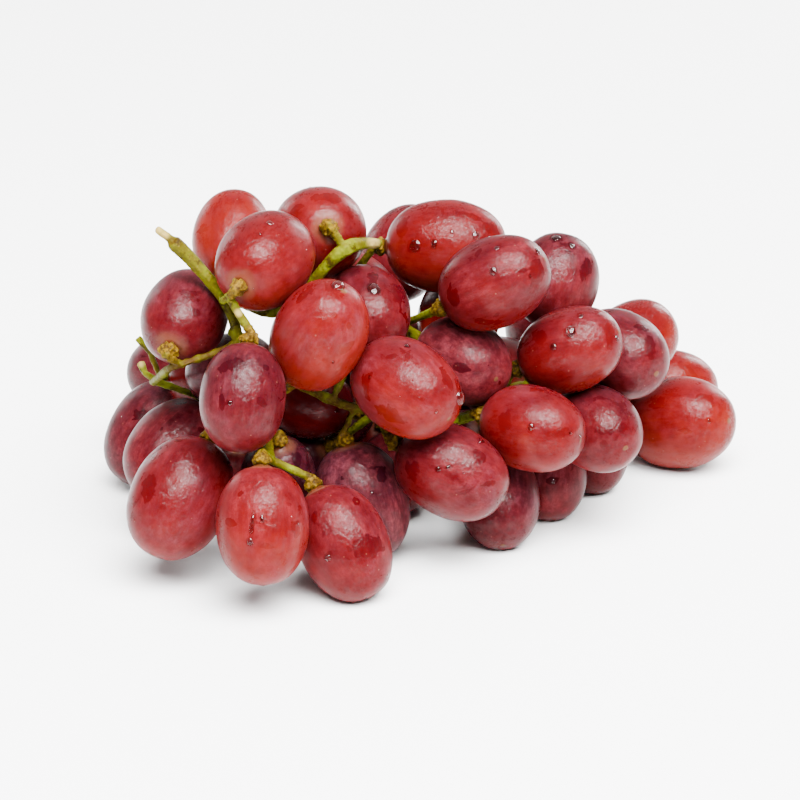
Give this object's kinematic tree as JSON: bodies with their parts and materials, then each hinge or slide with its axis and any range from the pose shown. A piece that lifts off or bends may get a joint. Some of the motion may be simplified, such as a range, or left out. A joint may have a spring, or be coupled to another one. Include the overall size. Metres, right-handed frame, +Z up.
{
  "type": "bunch of grapes",
  "caption": "Bunch of red table grapes lying on its side: oval berries round a branched green stem with a cut end.",
  "frame": {"origin": "on the surface, under the middle of the bunch's box", "axes": "+X to the right along the bunch, from the cut stem end to the tip, +Y to its back, +Z up from the surface"},
  "size_m": [0.1432, 0.121, 0.0752],
  "materials": {
    "skin": "smooth taut skin, red to purple red, with a thin pale bloom and wet spots",
    "stem": "green to tan woody stem, slightly rough"
  },
  "bodies": {
    "root": {"berry_01": "skin", "berry_02": "skin", "berry_03": "skin", "berry_04": "skin", "berry_05": "skin", "berry_06": "skin", "berry_07": "skin", "berry_08": "skin", "berry_09": "skin", "berry_10": "skin", "berry_11": "skin", "berry_12": "skin", "berry_13": "skin", "berry_14": "skin", "berry_15": "skin", "berry_16": "skin", "berry_17": "skin", "berry_18": "skin", "berry_19": "skin", "berry_20": "skin", "berry_21": "skin", "berry_22": "skin", "berry_23": "skin", "berry_24": "skin", "berry_25": "skin", "berry_26": "skin", "berry_27": "skin", "berry_28": "skin", "berry_29": "skin", "berry_30": "skin", "berry_31": "skin", "berry_32": "skin", "berry_33": "skin", "berry_34": "skin", "berry_35": "skin", "berry_36": "skin", "berry_37": "skin", "berry_38": "skin", "berry_39": "skin", "berry_40": "skin", "berry_41": "skin", "berry_42": "skin", "berry_43": "skin", "berry_44": "skin", "berry_45": "skin", "berry_46": "skin", "berry_47": "skin", "berry_48": "skin", "berry_49": "skin", "berry_50": "skin", "berry_51": "skin", "berry_52": "skin", "rachis": "stem"}
  },
  "joints": []
}
